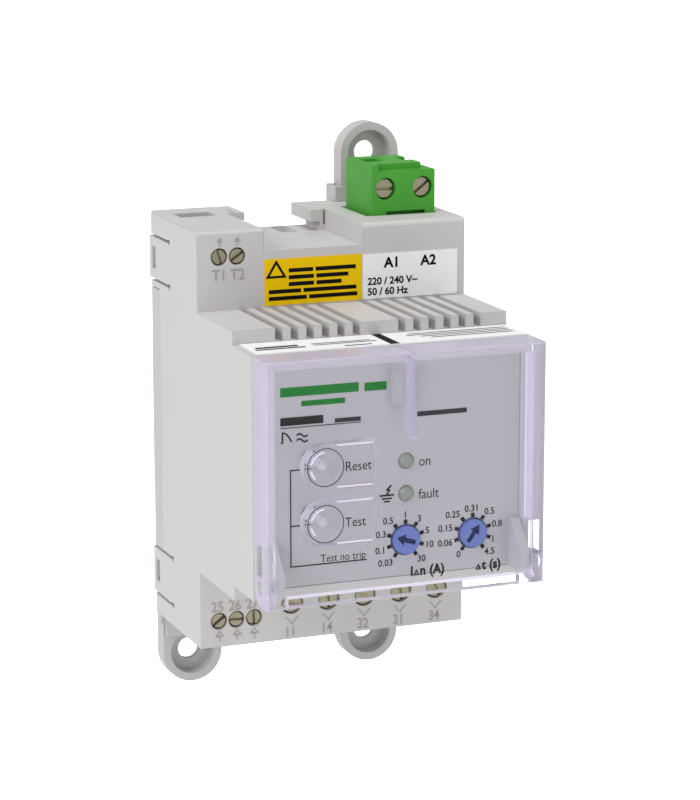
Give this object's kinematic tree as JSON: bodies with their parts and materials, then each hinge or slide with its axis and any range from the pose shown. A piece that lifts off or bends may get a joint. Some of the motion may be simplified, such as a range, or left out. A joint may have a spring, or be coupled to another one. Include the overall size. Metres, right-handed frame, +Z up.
{
  "type": "residual current relay",
  "caption": "Modular residual current relay with hinged clear cover, push pads, rotary selectors, pull-off supply plug, screw terminals, rail catch and sliding fixing lugs.",
  "frame": {"origin": "middle of the rail seat plane, on the rail's centre line and the device's mid-width", "axes": "+X to the device's right, -Y towards the person using it, +Y into the wall, +Z up"},
  "size_m": [0.054, 0.071, 0.111],
  "materials": {
    "housing_grey": "fine satin, moulded",
    "base_grey": "satin, moulded",
    "panel_grey": "satin, printed",
    "clear_plastic": "polished clear polycarbonate",
    "label_yellow": "printed film",
    "label_white": "printed film",
    "circuit_board": "solder mask",
    "transformer_steel": "laminated",
    "relay_black": "moulded",
    "capacitor_aluminium": "sleeved can",
    "terminal_grey": "moulded",
    "plug_green": "satin moulded",
    "selector_blue": "moulded",
    "switch_black": "moulded",
    "button_white": "moulded",
    "lens_grey": "diffused lens",
    "spring_steel": "drawn wire",
    "screw_nickel": "nickel plated",
    "cage_steel": "zinc plated"
  },
  "bodies": {
    "housing": {"front_housing": "housing_grey", "rear_base": "base_grey", "front_fascia": "panel_grey", "caution_label": "label_yellow", "supply_label": "label_white", "ledge_label": "label_white", "main_board": "circuit_board", "control_board": "circuit_board", "supply_transformer": "transformer_steel", "output_relay_a": "relay_black", "output_relay_b": "relay_black", "smoothing_capacitor": "capacitor_aluminium", "sensor_terminal_block": "terminal_grey", "alarm_terminal_block": "terminal_grey", "contact_terminal_block": "terminal_grey", "plug_header": "plug_green", "current_switch_body": "switch_black", "delay_switch_body": "switch_black", "reset_switch": "switch_black", "test_switch": "switch_black", "led_on": "lens_grey", "led_fault": "lens_grey", "catch_spring": "spring_steel"},
    "clear_cover": {"clear_cover": "clear_plastic"},
    "reset_tongue": {"reset_tongue": "clear_plastic"},
    "test_tongue": {"test_tongue": "clear_plastic"},
    "reset_button": {"reset_button": "button_white"},
    "test_button": {"test_button": "button_white"},
    "current_selector": {"current_selector": "selector_blue"},
    "delay_selector": {"delay_selector": "selector_blue"},
    "lug_top": {"lug_top": "base_grey"},
    "lug_bottom_left": {"lug_bottom_left": "base_grey"},
    "lug_bottom_right": {"lug_bottom_right": "base_grey"},
    "rail_catch": {"rail_catch": "base_grey"},
    "supply_plug": {"supply_plug": "plug_green"},
    "sensor_1_screw": {"sensor_1_screw": "screw_nickel"},
    "sensor_1_cage": {"sensor_1_cage": "cage_steel"},
    "sensor_2_screw": {"sensor_2_screw": "screw_nickel"},
    "sensor_2_cage": {"sensor_2_cage": "cage_steel"},
    "alarm_1_screw": {"alarm_1_screw": "screw_nickel"},
    "alarm_1_cage": {"alarm_1_cage": "cage_steel"},
    "alarm_2_screw": {"alarm_2_screw": "screw_nickel"},
    "alarm_2_cage": {"alarm_2_cage": "cage_steel"},
    "alarm_3_screw": {"alarm_3_screw": "screw_nickel"},
    "alarm_3_cage": {"alarm_3_cage": "cage_steel"},
    "contact_1_screw": {"contact_1_screw": "screw_nickel"},
    "contact_1_cage": {"contact_1_cage": "cage_steel"},
    "contact_2_screw": {"contact_2_screw": "screw_nickel"},
    "contact_2_cage": {"contact_2_cage": "cage_steel"},
    "contact_3_screw": {"contact_3_screw": "screw_nickel"},
    "contact_3_cage": {"contact_3_cage": "cage_steel"},
    "contact_4_screw": {"contact_4_screw": "screw_nickel"},
    "contact_4_cage": {"contact_4_cage": "cage_steel"},
    "contact_5_screw": {"contact_5_screw": "screw_nickel"},
    "contact_5_cage": {"contact_5_cage": "cage_steel"},
    "plug_1_screw": {"plug_1_screw": "screw_nickel"},
    "plug_1_cage": {"plug_1_cage": "cage_steel"},
    "plug_2_screw": {"plug_2_screw": "screw_nickel"},
    "plug_2_cage": {"plug_2_cage": "cage_steel"}
  },
  "joints": [
    {"name": "cover_hinge", "type": "hinge", "parent": "housing", "child": "clear_cover", "pos_m": [0, -0.0623, -0.019], "axis": [1, 0, 0], "range_deg": [0, 90]},
    {"name": "reset_tongue_flex", "type": "hinge", "parent": "clear_cover", "child": "reset_tongue", "pos_m": [-0.0064, -0.0653, 0.0031], "axis": [0, 0, -1], "range_deg": [0, 6], "stiffness_Nm_per_rad": 0.05},
    {"name": "reset_button_press", "type": "slide", "parent": "housing", "child": "reset_button", "axis": [0, 1, 0], "range_m": [0, 0.001], "stiffness_N_per_m": 300},
    {"name": "test_tongue_flex", "type": "hinge", "parent": "clear_cover", "child": "test_tongue", "pos_m": [-0.0064, -0.0653, -0.0072], "axis": [0, 0, -1], "range_deg": [0, 6], "stiffness_Nm_per_rad": 0.05},
    {"name": "test_button_press", "type": "slide", "parent": "housing", "child": "test_button", "axis": [0, 1, 0], "range_m": [0, 0.001], "stiffness_N_per_m": 300},
    {"name": "current_selector_turn", "type": "hinge", "parent": "housing", "child": "current_selector", "pos_m": [0.00242, -0.0575, -0.0138], "axis": [0, 1, 0], "range_deg": [-72, 216]},
    {"name": "delay_selector_turn", "type": "hinge", "parent": "housing", "child": "delay_selector", "pos_m": [0.01579, -0.0575, -0.0138], "axis": [0, 1, 0], "range_deg": [-180, 108]},
    {"name": "lug_top_slide", "type": "slide", "parent": "housing", "child": "lug_top", "axis": [0, 0, -1], "range_m": [0, 0.0085]},
    {"name": "lug_bottom_left_slide", "type": "slide", "parent": "housing", "child": "lug_bottom_left", "axis": [0, 0, 1], "range_m": [0, 0.0085]},
    {"name": "lug_bottom_right_slide", "type": "slide", "parent": "housing", "child": "lug_bottom_right", "axis": [0, 0, 1], "range_m": [0, 0.0085]},
    {"name": "rail_catch_slide", "type": "slide", "parent": "housing", "child": "rail_catch", "axis": [0, 0, -1], "range_m": [0, 0.0028], "stiffness_N_per_m": 900, "springref_m": -0.001, "deforming": ["catch_spring"]},
    {"name": "supply_plug_pull", "type": "slide", "parent": "housing", "child": "supply_plug", "axis": [0, 0, 1], "range_m": [0, 0.0125]},
    {"name": "sensor_1_screw_turn", "type": "hinge", "parent": "housing", "child": "sensor_1_screw", "pos_m": [-0.02254, -0.0279, 0.0352], "axis": [0, 1, 0], "range_deg": [0, 1080]},
    {"name": "sensor_1_cage_rise", "type": "slide", "parent": "housing", "child": "sensor_1_cage", "axis": [0, -1, 0], "range_m": [0, 0.0015]},
    {"name": "sensor_2_screw_turn", "type": "hinge", "parent": "housing", "child": "sensor_2_screw", "pos_m": [-0.01903, -0.0279, 0.0352], "axis": [0, 1, 0], "range_deg": [0, 1080]},
    {"name": "sensor_2_cage_rise", "type": "slide", "parent": "housing", "child": "sensor_2_cage", "axis": [0, -1, 0], "range_m": [0, 0.0015]},
    {"name": "alarm_1_screw_turn", "type": "hinge", "parent": "housing", "child": "alarm_1_screw", "pos_m": [-0.02326, -0.0279, -0.0349], "axis": [0, 1, 0], "range_deg": [0, 1080]},
    {"name": "alarm_1_cage_rise", "type": "slide", "parent": "housing", "child": "alarm_1_cage", "axis": [0, -1, 0], "range_m": [0, 0.0015]},
    {"name": "alarm_2_screw_turn", "type": "hinge", "parent": "housing", "child": "alarm_2_screw", "pos_m": [-0.01973, -0.0279, -0.0349], "axis": [0, 1, 0], "range_deg": [0, 1080]},
    {"name": "alarm_2_cage_rise", "type": "slide", "parent": "housing", "child": "alarm_2_cage", "axis": [0, -1, 0], "range_m": [0, 0.0015]},
    {"name": "alarm_3_screw_turn", "type": "hinge", "parent": "housing", "child": "alarm_3_screw", "pos_m": [-0.0162, -0.0279, -0.0349], "axis": [0, 1, 0], "range_deg": [0, 1080]},
    {"name": "alarm_3_cage_rise", "type": "slide", "parent": "housing", "child": "alarm_3_cage", "axis": [0, -1, 0], "range_m": [0, 0.0015]},
    {"name": "contact_1_screw_turn", "type": "hinge", "parent": "housing", "child": "contact_1_screw", "pos_m": [-0.00855, -0.0279, -0.0328], "axis": [0, 1, 0], "range_deg": [0, 1080]},
    {"name": "contact_1_cage_rise", "type": "slide", "parent": "housing", "child": "contact_1_cage", "axis": [0, -1, 0], "range_m": [0, 0.0015]},
    {"name": "contact_2_screw_turn", "type": "hinge", "parent": "housing", "child": "contact_2_screw", "pos_m": [-0.00105, -0.0279, -0.0328], "axis": [0, 1, 0], "range_deg": [0, 1080]},
    {"name": "contact_2_cage_rise", "type": "slide", "parent": "housing", "child": "contact_2_cage", "axis": [0, -1, 0], "range_m": [0, 0.0015]},
    {"name": "contact_3_screw_turn", "type": "hinge", "parent": "housing", "child": "contact_3_screw", "pos_m": [0.00645, -0.0279, -0.0328], "axis": [0, 1, 0], "range_deg": [0, 1080]},
    {"name": "contact_3_cage_rise", "type": "slide", "parent": "housing", "child": "contact_3_cage", "axis": [0, -1, 0], "range_m": [0, 0.0015]},
    {"name": "contact_4_screw_turn", "type": "hinge", "parent": "housing", "child": "contact_4_screw", "pos_m": [0.01395, -0.0279, -0.0328], "axis": [0, 1, 0], "range_deg": [0, 1080]},
    {"name": "contact_4_cage_rise", "type": "slide", "parent": "housing", "child": "contact_4_cage", "axis": [0, -1, 0], "range_m": [0, 0.0015]},
    {"name": "contact_5_screw_turn", "type": "hinge", "parent": "housing", "child": "contact_5_screw", "pos_m": [0.02145, -0.0279, -0.0328], "axis": [0, 1, 0], "range_deg": [0, 1080]},
    {"name": "contact_5_cage_rise", "type": "slide", "parent": "housing", "child": "contact_5_cage", "axis": [0, -1, 0], "range_m": [0, 0.0015]},
    {"name": "plug_1_screw_turn", "type": "hinge", "parent": "supply_plug", "child": "plug_1_screw", "pos_m": [0.01405, -0.0199, 0.04498], "axis": [0, 1, 0], "range_deg": [0, 1080]},
    {"name": "plug_1_cage_rise", "type": "slide", "parent": "supply_plug", "child": "plug_1_cage", "axis": [0, -1, 0], "range_m": [0, 0.0015]},
    {"name": "plug_2_screw_turn", "type": "hinge", "parent": "supply_plug", "child": "plug_2_screw", "pos_m": [0.02168, -0.0199, 0.04498], "axis": [0, 1, 0], "range_deg": [0, 1080]},
    {"name": "plug_2_cage_rise", "type": "slide", "parent": "supply_plug", "child": "plug_2_cage", "axis": [0, -1, 0], "range_m": [0, 0.0015]}
  ],
  "couplings": [
    {"joint": "reset_tongue_flex", "follows": "reset_button_press", "rad_per_m": 104.7},
    {"joint": "test_tongue_flex", "follows": "test_button_press", "rad_per_m": 104.7},
    {"joint": "sensor_1_screw_turn", "follows": "sensor_1_cage_rise", "rad_per_m": 12566},
    {"joint": "sensor_2_screw_turn", "follows": "sensor_2_cage_rise", "rad_per_m": 12566},
    {"joint": "alarm_1_screw_turn", "follows": "alarm_1_cage_rise", "rad_per_m": 12566},
    {"joint": "alarm_2_screw_turn", "follows": "alarm_2_cage_rise", "rad_per_m": 12566},
    {"joint": "alarm_3_screw_turn", "follows": "alarm_3_cage_rise", "rad_per_m": 12566},
    {"joint": "contact_1_screw_turn", "follows": "contact_1_cage_rise", "rad_per_m": 12566},
    {"joint": "contact_2_screw_turn", "follows": "contact_2_cage_rise", "rad_per_m": 12566},
    {"joint": "contact_3_screw_turn", "follows": "contact_3_cage_rise", "rad_per_m": 12566},
    {"joint": "contact_4_screw_turn", "follows": "contact_4_cage_rise", "rad_per_m": 12566},
    {"joint": "contact_5_screw_turn", "follows": "contact_5_cage_rise", "rad_per_m": 12566},
    {"joint": "plug_1_screw_turn", "follows": "plug_1_cage_rise", "rad_per_m": 12566},
    {"joint": "plug_2_screw_turn", "follows": "plug_2_cage_rise", "rad_per_m": 12566}
  ]
}
